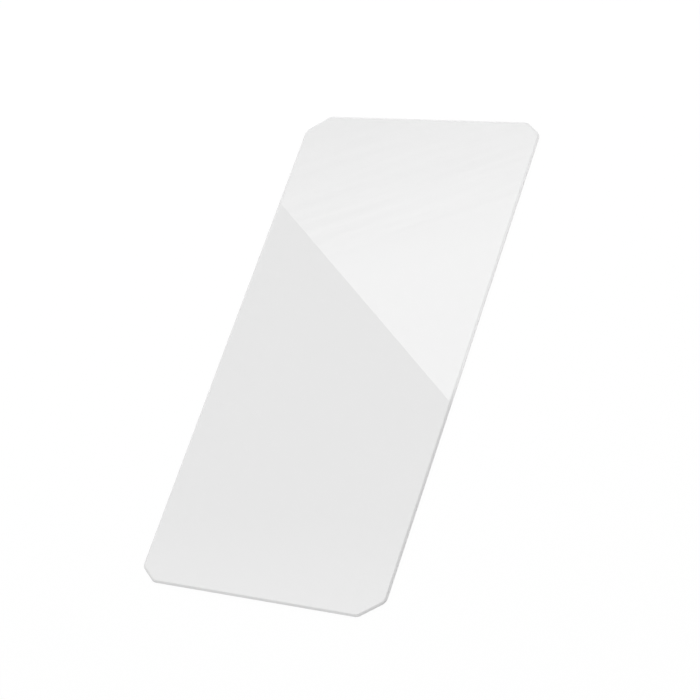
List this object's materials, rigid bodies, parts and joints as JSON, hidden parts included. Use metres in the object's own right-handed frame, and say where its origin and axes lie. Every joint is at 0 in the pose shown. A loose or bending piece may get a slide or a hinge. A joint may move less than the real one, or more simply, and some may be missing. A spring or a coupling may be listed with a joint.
{
  "type": "motorcycle display screen protector",
  "caption": "Thin clear glass sheet, a long rectangle with cut corners and a rounded-over front edge, laid over a motorcycle display to guard its face from scratches.",
  "frame": {"origin": "centre of the back face, which lies on z = 0", "axes": "+Y along the sheet's long way, +X across it, +Z out of the front face"},
  "size_m": [0.072, 0.14, 0.0005],
  "materials": {
    "clear_glass": "clear glass with polished faces and a finely ground, rounded-over edge"
  },
  "bodies": {
    "root": {"glass_sheet": "clear_glass"}
  },
  "joints": []
}
